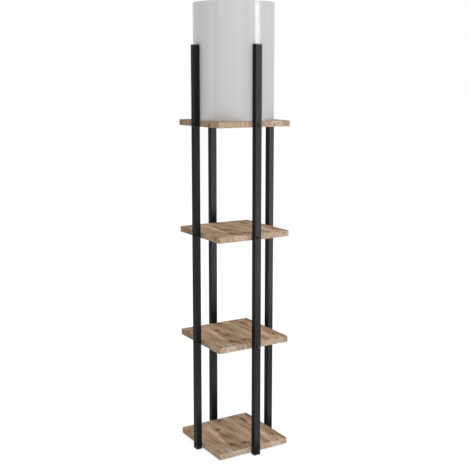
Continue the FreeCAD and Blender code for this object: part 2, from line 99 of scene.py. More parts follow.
def surface(tree, shader, colour, roughness, height, depth):
    """Gives the shader its colour, its roughness and bumps of that depth, in metres."""
    bumps = add_node(tree, "Bump", {"Height": height, "Distance": depth, "Strength": 1.0})
    feed(tree, shader, {"Base Color": colour, "Roughness": roughness, "Normal": bumps})


def opaque(colour):
    return (*colour, 1.0)


def grain(tree, place, cell, detail, stretch=(1, 1, 1)):
    """Noise whose cells are cell metres wide, each axis drawn out by its stretch."""
    scale = [1 / (cell * part) for part in stretch]
    scaled = add_node(tree, "VectorMath", {0: place, 1: scale}, operation="MULTIPLY")
    return add_node(tree, "TexNoise", {"Vector": scaled, "Scale": 1.0, "Detail": detail})


def between(tree, factor, low, high, start=0.3, end=0.7):
    """Numbers or colours from low to high, as a factor goes from start to end, the usual span of noise."""
    if isinstance(low, (int, float)):
        return add_node(tree, "MapRange", {0: factor, 1: start, 2: end, 3: low, 4: high})
    spread = add_node(tree, "MapRange", {0: factor, 1: start, 2: end})
    return add_node(tree, "Mix", {0: spread, 6: opaque(low), 7: opaque(high)}, data_type="RGBA").outputs[2]


def shade_of(colour, factor):
    return [min(1.0, channel * factor) for channel in colour]


def tones(tree, factor, colour, darkest, palest, start=0.3, end=0.7):
    """A colour that a factor takes from its darkest to its palest tone, both as shares of it."""
    return between(tree, factor, shade_of(colour, darkest), shade_of(colour, palest), start, end)


# Finishes

# Knots of the printed softwood, the same on every board: middle x and y, half width and half length, all in
# millimetres, and how dark.
KNOTS = (
    (-34, 47, 4.5, 6, 0.85), (8, 108, 3.5, 6, 0.95), (-32, 111, 3, 4, 0.6), (6, 29, 2.5, 4, 0.5),
    (13, -3, 2.5, 3.5, 0.5), (-56, -78, 7.5, 9, 0.9), (-11, -85, 6, 5.5, 1.0), (2, -90, 4.5, 4.5, 0.9),
    (83, 84, 5, 20, 0.95), (102, -75, 4, 9, 0.75), (-124, 82, 3, 10, 0.8), (58, -108, 2.5, 3, 0.5),
    (112, 102, 2.5, 8, 0.75),
)
# Smoky patches of the same print, in the same terms.
PATCHES = (
    (-36, -14, 24, 40, 0.9), (-52, -88, 22, 36, 0.7), (-14, -90, 18, 15, 0.6), (83, 70, 6, 30, 1.5),
    (119, 92, 7, 34, 0.8), (-33, 46, 15, 18, 0.5), (-92, -50, 5, 80, 0.5), (-116, 85, 13, 30, 0.6),
    (108, -80, 9, 36, 0.4),
)
# Where a knot's rings lie, from where the grain begins to bend (0) to the middle (1), and how dark each is.
KNOT_RINGS = ((0.4, 0.0), (0.66, 0.3), (0.72, 0.16), (0.82, 0.7), (0.94, 1.0))
KNOT_REACH = 4.5        # how many knots wide the grain around a knot bends
KNOT_PUSH = 0.55        # how far it bends close to the knot's middle, as a share of the distance from there
# The finest streaks of the print multiply red, green and blue by these, where they are darkest and palest.
DEEP_STREAK, PALE_STREAK = (0.55, 0.48, 0.38), (1.34, 1.39, 1.48)
PRINT_START = 11.3      # where the lowest board's edging starts along its print, in metres
PRINT_STEP = 0.613      # how much farther along the print each board above it starts, in metres
STAVE = 46 * MM         # mean width of the upright pieces in the edging's print
# Dark spots and smoky stretches of the edging: middle, half width and half height, all in millimetres, and
# how dark.
EDGE_MARKS = (
    ((-125, 72, 14), 62, 60, 0.34), ((-125, 72, 354), 62, 60, 0.46), ((-125, 72, 694), 62, 60, 0.52),
    ((-125, 72, 1034), 62, 60, 0.36), ((-125, 98, 12), 13, 6, 0.75), ((-125, 77, 17), 9, 5, 0.8),
    ((-125, 89, 355), 10, 7, 0.9), ((-125, 64, 351), 9, 7, 0.8), ((-125, 95, 693), 8, 7, 0.85),
    ((-125, 60, 697), 14, 6, 0.8), ((-125, 106, 1036), 7, 8, 0.7), ((-125, -102, 696), 9, 8, 1.0),
    ((-125, -67, 1032), 10, 9, 1.0), ((107, -125, 696), 11, 9, 0.5), ((67, -125, 1032), 6, 9, 0.8),
    ((-60, -125, 356), 12, 7, 0.35), ((118, -125, 354), 9, 12, 0.4), ((14, 125, 350), 9, 8, 0.8),
    ((125, 40, 1036), 10, 8, 0.8), ((125, -50, 14), 8, 9, 0.7), ((-40, 125, 1030), 8, 8, 0.7),
)


def spot(tree, place, middle, half):
    """The place in half sizes from a spot's middle, and the nearness: 1 in the middle, 0 at the border."""
    local = add_node(tree, "Mapping", {
        "Vector": place,
        "Location": [at * MM for at in middle],
        "Scale": [size * MM for size in half],
    }, vector_type="TEXTURE")
    return local, add_node(tree, "TexGradient", {0: local}, gradient_type="SPHERICAL").outputs[1]


def add_spot(tree, so_far, near, dark):
    """How dark the spots make the print so far, with one more. Where two meet, the darker counts."""
    darkened = add_node(tree, "Math", {0: near, 1: dark}, operation="MULTIPLY")
    return add_node(tree, "Math", {0: darkened, 1: so_far}, operation="MAXIMUM")


def knotty_grain(tree, flat):
    """The place with the grain led round the knots, the depth in a knot, and how smoky the print is."""
    sideways, depth, smoke = 0.0, 0.0, 0.0
    for x, y, half_width, half_length, dark in KNOTS:
        reach = half_width * KNOT_REACH
        local, near = spot(tree, flat, (x, y, 0), (reach, half_length * KNOT_REACH, 1))
        across = add_node(tree, "SeparateXYZ", {0: local}).outputs["X"]
        weighed = add_node(tree, "Math", {0: across, 1: near}, operation="MULTIPLY")
        push = add_node(tree, "Math", {0: weighed, 1: reach * MM * KNOT_PUSH}, operation="MULTIPLY")
        sideways = add_node(tree, "Math", {0: push, 1: sideways}, operation="ADD")
        # A faint knot stops short of the innermost ring.
        depth = add_spot(tree, depth, near, 0.75 + dark / 4)
    for x, y, half_width, half_length, dark in PATCHES:
        near = spot(tree, flat, (x, y, 0), (half_width, half_length, 1))[1]
        smoke = add_spot(tree, smoke, near, dark)
    back = add_node(tree, "Math", {0: sideways, 1: -1.0}, operation="MULTIPLY")
    led = add_node(tree, "CombineXYZ", {0: back})
    return add_node(tree, "VectorMath", {0: flat, 1: led}, operation="ADD"), depth, smoke


def printed_board(colours):
    """Chipboard faced with melamine: a matt, slightly embossed sheet with a knotty softwood print."""
    material, tree, shader, place = start_material(
        "Melamine board, knotty pine print", {"IOR": 1.5, "Specular IOR Level": 0.01},
    )
    flat = add_node(tree, "VectorMath", {0: place, 1: (1, 1, 0)}, operation="MULTIPLY")
    bent, depth, smoke = knotty_grain(tree, flat)
    # Growth rings cut lengthwise lie 4 to 25 mm apart; pores and resin marks are about 3 mm wide.
    broad = grain(tree, bent, 25 * MM, 4.0, (1, 9, 1))
    fine = grain(tree, bent, 3.6 * MM, 2.0, (1, 22, 1))
    fleck = grain(tree, bent, 3 * MM, 1.0, (1, 3.5, 1))
    # Tone, crowds of marks and reddish parts drift slowly over the whole board.
    cloud = grain(tree, flat, 60 * MM, 3.0, (1, 1.6, 1))
    crowd = grain(tree, flat, 34 * MM, 2.0, (1, 2, 1))
    blush = grain(tree, bent, 34 * MM, 1.0, (1, 3, 1))

    wood = between(tree, broad, colours.wood_dark, colours.wood_light, 0.22, 0.78)
    reddish = between(tree, blush, 0.0, 0.9, 0.42, 0.68)
    tinted = add_node(tree, "Mix", {
        0: reddish, 6: wood, 7: opaque(colours.wood_red),
    }, data_type="RGBA", blend_type="MULTIPLY").outputs[2]
    streaks = between(tree, fine, DEEP_STREAK, PALE_STREAK)
    streaked = add_node(tree, "VectorMath", {0: tinted, 1: streaks}, operation="MULTIPLY")
    drift = between(tree, cloud, 0.9, 1.08)
    toned = add_node(tree, "VectorMath", {0: streaked, 3: drift}, operation="SCALE")

    streaky = add_node(tree, "Math", {0: smoke, 1: between(tree, broad, 1.1, 0.5)}, operation="MULTIPLY")
    haze = add_node(tree, "Math", {0: streaky, 1: between(tree, fleck, 1.2, 0.7)}, operation="MULTIPLY")
    smoked = add_node(tree, "Mix", {
        0: between(tree, haze, 0.0, 0.9, 0.0, 0.9), 6: toned, 7: opaque(colours.smoke),
    }, data_type="RGBA").outputs[2]

    # The marks crowd together in some parts, and more of them lie in the smoky ones.
    added = add_node(tree, "Math", {0: smoke, 1: 0.3}, operation="MULTIPLY")
    crowded = add_node(tree, "Math", {0: crowd, 1: added}, operation="ADD")
    allowed = between(tree, crowded, 0.0, 0.95, 0.5, 0.68)
    dense = between(tree, fleck, 0.0, 1.0, 0.54, 0.64)
    marks = add_node(tree, "Math", {0: dense, 1: allowed}, operation="MULTIPLY")
    marked = add_node(tree, "Mix", {
        0: marks, 6: smoked, 7: opaque(colours.mark),
    }, data_type="RGBA").outputs[2]

    rings = add_node(tree, "ValToRGB", {0: depth})
    stops = rings.color_ramp.elements
    stops.remove(stops[1])
    stops[0].position, stops[0].color = KNOT_RINGS[0][0], opaque([KNOT_RINGS[0][1]] * 3)
    for position, dark in KNOT_RINGS[1:]:
        stops.new(position).color = opaque([dark] * 3)
    knotted = add_node(tree, "Mix", {
        0: rings, 6: marked, 7: opaque(colours.knot),
    }, data_type="RGBA").outputs[2]
    surface(tree, shader, knotted, between(tree, fine, 0.74, 0.6), fine, 0.12 * MM)
    return material


def printed_edging(colours):
    """Melamine edging band, glued on: the print is cut across, in upright pieces of differing tone."""
    material, tree, shader, place = start_material(
        "Melamine edging, pine print", {"IOR": 1.5, "Specular IOR Level": 0.07},
    )
    x, y, height = add_node(tree, "SeparateXYZ", {0: place}).outputs
    around = add_node(tree, "Math", {0: x, 1: y}, operation="ADD")
    started = add_node(tree, "Math", {0: around, 1: PRINT_START}, operation="ADD")
    # The print starts elsewhere on each board.
    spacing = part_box("shelf_2_board")[0].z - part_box("shelf_1_board")[0].z
    storey = add_node(tree, "Math", {0: height, 1: spacing}, operation="DIVIDE")
    board = add_node(tree, "Math", {0: storey}, operation="FLOOR")
    ahead = add_node(tree, "Math", {0: board, 1: PRINT_STEP}, operation="MULTIPLY")
    along = add_node(tree, "Math", {0: started, 1: ahead}, operation="ADD")

    def staves(feature):
        values = {"W": along, "Scale": 1 / STAVE}
        return add_node(tree, "TexVoronoi", values, voronoi_dimensions="1D", feature=feature).outputs

    joint = staves("DISTANCE_TO_EDGE")[0]
    tone_draw, red_draw, _ = add_node(tree, "SeparateXYZ", {0: staves("F1")["Color"]}).outputs
    # Growth rings cut across are upright bands 3 mm wide, crossed by slanting rays of 4 mm.
    row = add_node(tree, "CombineXYZ", {0: along, 1: height})
    slanted = add_node(tree, "Mapping", {"Vector": row, "Rotation": (0, 0, math.radians(24))})
    bands = grain(tree, row, 3 * MM, 3.0, (1, 6, 1))
    rays = grain(tree, slanted, 4 * MM, 3.0, (4, 0.8, 1))

    wood = between(tree, tone_draw, colours.edge_dark, colours.edge_light, 0.0, 1.0)
    tinted = add_node(tree, "Mix", {
        0: red_draw, 6: wood, 7: opaque(colours.wood_red),
    }, data_type="RGBA", blend_type="MULTIPLY").outputs[2]
    # Painted shade: the band on the sides that face X is made darker and browner, as though less light fell
    # on them.
    normal = add_node(tree, "TexCoord").outputs["Normal"]
    facing = add_node(tree, "SeparateXYZ", {0: normal}).outputs["X"]
    sideways = add_node(tree, "Math", {0: facing}, operation="ABSOLUTE")
    side_shaded = add_node(tree, "Mix", {
        0: sideways, 6: tinted, 7: opaque(colours.edge_side_shade),
    }, data_type="RGBA", blend_type="MULTIPLY").outputs[2]
    upright, slanting = between(tree, bands, 0.73, 1.19), between(tree, rays, 0.65, 1.26)
    crossed = add_node(tree, "Math", {0: upright, 1: slanting}, operation="MULTIPLY")
    jointed = between(tree, joint, 0.66, 1.0, 0.0, 0.025)
    tone = add_node(tree, "Math", {0: crossed, 1: jointed}, operation="MULTIPLY")
    toned = add_node(tree, "VectorMath", {0: side_shaded, 3: tone}, operation="SCALE")
    smoke = 0.0
    for middle, half_width, half_height, dark in EDGE_MARKS:
        near = spot(tree, place, middle, (half_width, half_width, half_height))[1]
        smoke = add_spot(tree, smoke, near, dark)
    smoked = add_node(tree, "Mix", {
        0: between(tree, smoke, 0.0, 0.95, 0.0, 0.75), 6: toned, 7: opaque(colours.edge_mark),
    }, data_type="RGBA").outputs[2]
    surface(tree, shader, smoked, between(tree, bands, 0.56, 0.45), bands, 0.08 * MM)
    return material


def powder_coat(colours):
    """Steel tube, polyester powder coated satin black: a soft sheen over a fine orange peel."""
    material, tree, shader, place = start_material(
        "Powder coated steel, satin black", {"IOR": 1.5, "Specular IOR Level": 0.035},
    )
    # Orange peel is about 1 mm across, drawn at 2 mm so that it shows.
    peel = grain(tree, place, 2 * MM, 1.0)
    patch = grain(tree, place, 60 * MM, 2.0, (1, 1, 3))
    black = tones(tree, patch, colours.post, 0.85, 1.15)
    surface(tree, shader, black, between(tree, peel, 0.2, 0.28), peel, 0.02 * MM)
    return material


def moulded_black(colours):
    """Injection moulded black plastic with a fine spark-eroded texture, duller than the posts."""
    material, tree, shader, place = start_material("Moulded polypropylene, black", {"IOR": 1.49})
    # Mould texture is a few tenths of a millimetre, drawn at 1.5 mm so that it shows.
    pits = grain(tree, place, 1.5 * MM, 2.0)
    patch = grain(tree, place, 12 * MM, 2.0)
    black = tones(tree, patch, colours.plastic, 0.8, 1.2)
    surface(tree, shader, black, between(tree, pits, 0.46, 0.6), pits, 0.03 * MM)
    return material


def blackened_screw(colours):
    """Black zinc plated steel: dark metal with a faint brown cast and a mottled sheen."""
    material, tree, shader, place = start_material("Black zinc plated steel", {"Metallic": 1.0})
    mottle = grain(tree, place, 3 * MM, 3.0)
    black = tones(tree, mottle, colours.screw, 0.8, 1.35)
    surface(tree, shader, black, between(tree, mottle, 0.34, 0.48), mottle, 0.02 * MM)
    return material


def plated_metal(name, colour, smoothest, roughest, cell):
    """A plated or bare metal: its own colour, with a mottled sheen."""
    material, tree, shader, place = start_material(name, {"Metallic": 1.0})
    mottle = grain(tree, place, cell, 3.0)
    metal = tones(tree, mottle, colour, 0.86, 1.08)
    surface(tree, shader, metal, between(tree, mottle, smoothest, roughest), mottle, 0.015 * MM)
    return material


def even_moulding(name, colour, roughness, ior=1.5):
    """Moulded plastic, glass or silicone: nearly even, with slow drifts of tone and sheen."""
    material, tree, shader, place = start_material(name, {"IOR": ior})
    drift = grain(tree, place, 18 * MM, 2.0)
    skin = grain(tree, place, 1.2 * MM, 1.0)
    sheen = between(tree, drift, roughness * 0.85, roughness * 1.15)
    surface(tree, shader, tones(tree, drift, colour, 0.95, 1.02), sheen, skin, 0.01 * MM)
    return material


def opal_shade(colours):
    """Opal acrylic tube, extruded and flame polished: milky white with a mirror-like skin."""
    material, tree, shader, place = start_material(
        "Opal acrylic, polished", {"IOR": 1.49, "Specular IOR Level": 0.14},
    )
    # An extruded tube has faint draw lines along its length, half a centimetre to two apart.
    wide = grain(tree, place, 16 * MM, 2.0, (1, 1, 60))
    narrow = grain(tree, place, 5 * MM, 1.0, (1, 1, 160))
    wide_share = 0.65
    wide_part = add_node(tree, "Math", {0: wide, 1: wide_share}, operation="MULTIPLY")
    narrow_part = add_node(tree, "Math", {0: narrow, 1: 1 - wide_share}, operation="MULTIPLY")
    lines = add_node(tree, "Math", {0: wide_part, 1: narrow_part}, operation="ADD")
    # Two noises added up span less than one does.
    opal = tones(tree, lines, colours.shade, 0.95, 1.02, 0.36, 0.64)
    surface(tree, shader, opal, between(tree, lines, 0.12, 0.17), lines, 0.002 * MM)
    return material


def circuit_board(colours):
    """Glass fibre board under white solder mask, with tracks that show through a little darker."""
    material, tree, shader, place = start_material("Circuit board, white mask", {"IOR": 1.5})
    track_width = 2.5 * MM
    tracks = add_node(tree, "TexBrick", {
        "Vector": add_node(tree, "VectorMath", {0: place, 1: [1 / track_width] * 3}, operation="MULTIPLY"),
        "Color1": opaque(colours.board),
        "Color2": opaque(shade_of(colours.board, 0.93)),
        "Mortar": opaque(shade_of(colours.board, 0.8)),
        "Scale": 1.0,
        "Mortar Size": 0.12,
    })
    surface(tree, shader, tracks, 0.35, tracks.outputs[1], 0.03 * MM)
    return material


def make_finishes(colours):
    """Every finish by the slot that it fills."""
    return {
        "post_steel": powder_coat(colours),
        "black_plastic": moulded_black(colours),
        "black_screw_steel": blackened_screw(colours),
        "shelf_board": printed_board(colours),
        "shelf_edging": printed_edging(colours),
        "zinc_steel": plated_metal("Zinc plated steel", linear("C3C5C4"), 0.22, 0.4, 4 * MM),
        "white_thermoset": even_moulding("White thermoset moulding", linear("E6E4DD"), 0.4),
        "brass": plated_metal("Brass, stamped", linear("D4B45E"), 0.2, 0.35, 3 * MM),
        "solder": plated_metal("Solder, reflowed", linear("B9BBBE"), 0.25, 0.45, 2 * MM),
        "black_glass": even_moulding("Black glass", linear("121215"), 0.08, 1.52),
        "nickel_cap": plated_metal("Nickel plated brass", linear("CBC7BE"), 0.18, 0.32, 3 * MM),
        "bulb_white": even_moulding("White polycarbonate moulding", linear("EBEAE6"), 0.35),
        "circuit_board": circuit_board(colours),
        "led_yellow": even_moulding("Phosphor silicone", linear("E7C24C"), 0.3),
        "bulb_diffuser": even_moulding("Frosted polycarbonate", linear("F3F2EC"), 0.5),
        "shade_opal": opal_shade(colours),
    }


# Modelling

def deselect():
    for item in bpy.context.selected_objects:
        item.select_set(False)


def take(piece):
    """Makes the piece the only one that the next operators act on."""
    deselect()
    piece.select_set(True)
    bpy.context.view_layer.objects.active = piece


def new_piece(name):
    """The primitive that was just added, under its name and with its place in its mesh."""
    piece = bpy.context.view_layer.objects.active
    piece.name = name
    piece.data.name = name
    take(piece)
    bpy.ops.object.transform_apply(location=True, rotation=True, scale=True)
    return piece


def draw_rings(profile):
    """Extrudes the selected ring through the profile's other (radius, height) pairs."""
    for (before_radius, before_height), (radius, height) in zip(profile, profile[1:]):
        bpy.ops.mesh.extrude_edges_move(TRANSFORM_OT_translate={"value": (0, 0, height - before_height)})
        ratio = radius / before_radius
        bpy.ops.transform.resize(value=(ratio, ratio, 1), center_override=(0, 0, height))


def turned(name, profile, steps, hollow=True):
    """A round piece about the lamp's axis: a ring that is extruded along its profile and closed."""
    deselect()
    radius, height = profile[0]
    bpy.ops.mesh.primitive_circle_add(vertices=steps, radius=radius, location=(0, 0, height))
    piece = new_piece(name)
    bpy.ops.object.mode_set(mode="EDIT")
    bpy.ops.mesh.select_all(action="SELECT")
    draw_rings([*profile, profile[0]] if hollow else profile)
    bpy.ops.mesh.select_all(action="SELECT")
    bpy.ops.mesh.remove_doubles(threshold=TOUCH)
    bpy.ops.mesh.fill_holes(sides=0)
    bpy.ops.mesh.normals_make_consistent(inside=False)
    bpy.ops.object.mode_set(mode="OBJECT")
    return piece


def apply_modifier(piece, kind, **settings):
    take(piece)
    modifier = piece.modifiers.new(kind.title(), kind)
    for name, setting in settings.items():
        setattr(modifier, name, setting)
    bpy.ops.object.modifier_apply(modifier=modifier.name)


def round_edges(piece, width, segments=3, angle=40):
    """Rounds every edge sharper than the angle, in degrees."""
    sharper = {"limit_method": "ANGLE", "angle_limit": math.radians(angle)}
    apply_modifier(piece, "BEVEL", width=width, segments=segments, **sharper)


def select_faces(piece, test):
    """Selects the faces whose centre passes the test, and goes into edit mode with them."""
    take(piece)
    bpy.ops.object.mode_set(mode="EDIT")
    bpy.ops.mesh.select_mode(type="FACE")
    bpy.ops.mesh.select_all(action="DESELECT")
    bpy.ops.object.mode_set(mode="OBJECT")
    for face in piece.data.polygons:
        face.select = test(face.center)
    bpy.ops.object.mode_set(mode="EDIT")


def finish_piece(piece, slot, body, replaced, finishes, smooth=35):
    """Shades the piece, gives it its finish and its place among the moving bodies."""
    take(piece)
    bpy.ops.object.shade_smooth_by_angle(angle=math.radians(smooth))
    piece.data.materials.clear()
    piece.data.materials.append(finishes[slot])
    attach(piece, body)
    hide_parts(*replaced)


def dress(names, finishes):
    """Gives CAD nodes the finish of their own slot."""
    for name in names:
        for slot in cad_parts[name].material_slots:
            slot.material = finishes[slot.material.name.split(".")[0]]


FINISHES = {}


def all_finishes():
    """The finishes, made once and found again by their slot."""
    if not FINISHES:
        FINISHES.update(make_finishes(bpy.context.scene.shelf_lamp_colours))
    return FINISHES


# Sizes, colours and light levels

def level(name, default, description, **units):
    return FloatProperty(name=name, description=description, default=default, min=0.0, **units)


def length(name, default, description):
    return level(name, default, description, unit="LENGTH", subtype="DISTANCE")


def watts(name, default, description):
    return level(name, default, description, unit="POWER")


def tint(name, hex_colour, description):
    colour = {"subtype": "COLOR", "size": 3, "min": 0.0, "max": 1.0}
    return FloatVectorProperty(name=name, description=description, default=linear(hex_colour), **colour)


class ShelfLampSizes(bpy.types.PropertyGroup):
    """Sizes of the pieces that are modelled over the frame."""
    steps: IntProperty(name="Round steps", description="Sides of a round piece", default=96, min=24)
    shade_wall: length("Shade wall", 2.5 * MM, "Thickness of the shade's wall")
    shade_rim: length("Shade rim", 0.8 * MM, "Radius of the shade's rims")
    head_radius: length("Screw head radius", 5.25 * MM, "Outer radius of a button head")
    head_height: length("Screw head height", 3.3 * MM, "How far a button head stands out")
    socket: length("Screw socket", 4.0 * MM, "Across the flats of the hexagon socket")
    socket_depth: length("Socket depth", 2.0 * MM, "Depth of the hexagon socket")
    shank_radius: length("Screw shank radius", 3.0 * MM, "Radius of a screw's shank")
    shank_length: length("Screw length", 35.0 * MM, "From under the head to the tip")
    rib_height: length("Rib height", 0.6 * MM, "How far the lampholder's ribs stand out")
    thread_pitch: length("Thread pitch", 3.62 * MM, "Rise of the bulb's thread in one turn")
    thread_depth: length("Thread depth", 1.0 * MM, "From the thread's root to its crest")


class ShelfLampColours(bpy.types.PropertyGroup):
    """Colours of the finishes."""
    shade: tint("Shade", "C5C5C5", "Opal white of the shade")
    post: tint("Posts", "1C1C1E", "Powder coat of the posts")
    plastic: tint("Plastic", "1F1F20", "Caps, feet and lampholder")
    screw: tint("Screws", "201F1E", "Black zinc of the screws")
    wood_light: tint("Light wood", "C5B29C", "Light streaks of the printed wood")
    wood_dark: tint("Dark wood", "7E613F", "Dark streaks of the printed wood")
    wood_red: tint("Reddish cast", "FFF2EB", "Cast over some streaks of the printed wood")
    smoke: tint("Smoky patches", "664A31", "Brown clouds in the printed wood")
    mark: tint("Marks", "6C4630", "Resin marks and pores of the printed wood")
    knot: tint("Knots", "422410", "Knots of the printed wood")
    edge_light: tint("Light edging", "C2B29E", "Lightest bands of the edging")
    edge_dark: tint("Dark edging", "AD9882", "Darkest bands of the edging")
    edge_mark: tint("Edging marks", "6C4A2A", "Dark spots and smoky stretches of the edging")
    # Painted shade, laid over the edging of the sides that face X.
    edge_side_shade: tint("Edging side cast", "E6E0D9", "Cast over the edging of the sides that face X")
    board: tint("Circuit board", "E4E6E2", "Solder mask of the bulb's boards")


class ShelfLampStage(bpy.types.PropertyGroup):
    """Light levels of the stage."""
    key: watts("Key light", 200.0, "Power of the softbox in front")
    rear: watts("Rear light", 125.0, "Power of the softbox behind")
    strip: watts("Strip light", 77.0, "Power of the tall strip")
    ambient: level("Ambient", 0.74, "Strength of the even light all round")
    backdrop: level("Backdrop", 1.0, "Strength of the white that shows behind")


# The operators, in the order in which they are run

class SHELFLAMP_OT_stage(bpy.types.Operator):
    """Set up the camera, the lights, the white surroundings and the floor"""
    bl_idname = "shelf_lamp.stage"
    bl_label = "Stage"

    def execute(self, context):
        stage = context.scene.shelf_lamp_stage
        place_camera(context.scene)
        light_up(context.scene, stage)
        lay_floor()
        return {"FINISHED"}


class SHELFLAMP_OT_posts(bpy.types.Operator):
    """Dress the four posts with their caps and feet"""
    bl_idname = "shelf_lamp.posts"
    bl_label = "Posts"

    def execute(self, context):
        dress([f"post_{side}{end}" for side in SIDES for end in ("", "_cap", "_foot")], all_finishes())
        return {"FINISHED"}


class SHELFLAMP_OT_screws(bpy.types.Operator):
    """Model a button-head screw and set one at each post and shelf"""
    bl_idname = "shelf_lamp.screws"
    bl_label = "Screws"

    def execute(self, context):
        sizes = context.scene.shelf_lamp_sizes
        screw = model_screw(sizes)
        for side in SIDES:
            set_screws(screw, side, all_finishes())
        bpy.data.meshes.remove(screw.data)
        return {"FINISHED"}


class SHELFLAMP_OT_shelves(bpy.types.Operator):
    """Dress the four boards, their edging and the threaded inserts"""
    bl_idname = "shelf_lamp.shelves"
    bl_label = "Shelves"

    def execute(self, context):
        parts = ("board", "edging", "inserts")
        dress([f"shelf_{number}_{part}" for number in SHELVES for part in parts], all_finishes())
        return {"FINISHED"}


class SHELFLAMP_OT_lampholder(bpy.types.Operator):
    """Model the lampholder's cup and ribbed shell, and dress what is in and under them"""
    bl_idname = "shelf_lamp.lampholder"
    bl_label = "Lampholder"

    def execute(self, context):
        model_holder(context.scene.shelf_lamp_sizes, all_finishes())
        dress([
            "holder_seat", "holder_nipple", "holder_washer", "holder_nut", "cord_inlet_bush",
            "holder_contact_block", "holder_centre_contact", "holder_terminals", "holder_terminal_screws",
            "holder_sleeve",
        ], all_finishes())
        return {"FINISHED"}


class SHELFLAMP_OT_bulb(bpy.types.Operator):
    """Model the bulb's globe, housing, threaded cap and tip, and dress what is inside"""
    bl_idname = "shelf_lamp.bulb"
    bl_label = "Bulb"

    def execute(self, context):
        model_bulb(context.scene.shelf_lamp_sizes, all_finishes())
        dress(["bulb_insulator", "bulb_driver_board", "bulb_led_board", "bulb_leds"], all_finishes())
        return {"FINISHED"}


class SHELFLAMP_OT_shade(bpy.types.Operator):
    """Model the opal shade"""
    bl_idname = "shelf_lamp.shade"
    bl_label = "Shade"

    def execute(self, context):
        model_shade(context.scene.shelf_lamp_sizes, all_finishes())
        return {"FINISHED"}


# Stage

# The photo's camera is level, with a lens shift of a third of the frame. Other views keep the shift, and so
# large a one would push the shade out of them, so this camera looks down instead, placed for the best fit.
CAMERA_PLACE = (-1.367, -2.265, 1.157)
CAMERA_YAW = 31.20          # to the right of straight along Y, degrees
CAMERA_DOWN = 9.25          # below level, degrees
CAMERA_LENS = 65.18         # millimetres, as is the sensor
CAMERA_SENSOR = 36.0
CAMERA_SHIFT = -0.03        # of the frame's width
# The softboxes stand in front and behind, high up and so far out that every shelf gets as much light.
KEY_AZIMUTH, REAR_AZIMUTH = -94, 80
SOFTBOX_DISTANCE, SOFTBOX_HEIGHT = 5.0, 5.9
SOFTBOX_SIZE = (3.0, 4.8)
SOFTBOX_AIM = 0.8           # height at which they are aimed
# The strip stands for a tall window beside the lamp, and its gleam lies on the floor towards it.
STRIP_AZIMUTH, STRIP_DISTANCE, STRIP_HEIGHT = -54, 1.8, 1.17
STRIP_SIZE = (0.42, 2.3)
GLEAM_DISTANCE, GLEAM_HEIGHT = 0.95, 1 * MM
GLEAM_SIZE = (0.5, 1.5)
GLEAM_SHARE = 0.2           # of the strip's power
FLOOR_SIZE, FLOOR_TOP = 40.0, -0.5 * MM
FLOOR_GLOW = 1.13           # strength of the white that the floor shows to the camera
FLOOR_GLOW_SHARE = 0.72     # the rest is paper, which keeps the shadow


def place_camera(scene):
    camera = bpy.data.objects.new("camera", bpy.data.cameras.new("camera"))
    scene.collection.objects.link(camera)
    camera.location = CAMERA_PLACE
    camera.rotation_euler = (math.radians(90 - CAMERA_DOWN), 0, math.radians(-CAMERA_YAW))
    camera.data.lens = CAMERA_LENS
    camera.data.sensor_width = CAMERA_SENSOR
    camera.data.shift_y = CAMERA_SHIFT
    scene.camera = camera


def add_softbox(scene, name, azimuth, distance, height, size, power, aim):
    """A rectangular lamp that stands at an azimuth round the object and faces its axis."""
    lamp = bpy.data.objects.new(name, bpy.data.lights.new(name, "AREA"))
    scene.collection.objects.link(lamp)
    turn = math.radians(azimuth)
    lamp.location = (distance * math.cos(turn), distance * math.sin(turn), height)
    lamp.rotation_euler = (Vector((0, 0, aim)) - lamp.location).to_track_quat("-Z", "Y").to_euler()
    lamp.data.shape = "RECTANGLE"
    lamp.data.size, lamp.data.size_y = size
    lamp.data.energy = power
    lamp.visible_camera = False
    return lamp


def seen_directly(tree):
    """1 for a ray from the camera or from a mirroring or clear surface, 0 for one that gathers light."""
    ray = add_node(tree, "LightPath").outputs
    through = {0: ray["Is Glossy Ray"], 1: ray["Is Transmission Ray"]}
    mirrored = add_node(tree, "Math", through, operation="MAXIMUM")
    return add_node(tree, "Math", {0: ray["Is Camera Ray"], 1: mirrored}, operation="MAXIMUM")


def light_up(scene, stage):
    far = (SOFTBOX_DISTANCE, SOFTBOX_HEIGHT, SOFTBOX_SIZE)
    key = add_softbox(scene, "key_softbox", KEY_AZIMUTH, *far, stage.key, SOFTBOX_AIM)
    rear = add_softbox(scene, "rear_softbox", REAR_AZIMUTH, *far, stage.rear, SOFTBOX_AIM)
    key.visible_glossy = rear.visible_glossy = False
    # These two show as streaks in glossy finishes and light nothing else.
    beside = (STRIP_AZIMUTH, STRIP_DISTANCE, STRIP_HEIGHT, STRIP_SIZE)
    strip = add_softbox(scene, "strip_softbox", *beside, stage.strip, STRIP_HEIGHT)
    below = (STRIP_AZIMUTH, GLEAM_DISTANCE, GLEAM_HEIGHT, GLEAM_SIZE)
    gleam = add_softbox(scene, "floor_gleam", *below, stage.strip * GLEAM_SHARE, GLEAM_HEIGHT)
    gleam.rotation_euler = (math.radians(180), 0, math.radians(STRIP_AZIMUTH - 90))
    strip.visible_diffuse = gleam.visible_diffuse = False
    scene.view_settings.view_transform = "Standard"
    world = bpy.data.worlds.new("white surroundings")
    scene.world = world
    world.use_nodes = True
    tree = world.node_tree
    strength = between(tree, seen_directly(tree), stage.ambient, stage.backdrop, 0.0, 1.0)
    feed(tree, tree.nodes["Background"], {"Strength": strength, "Color": (1, 1, 1, 1)})


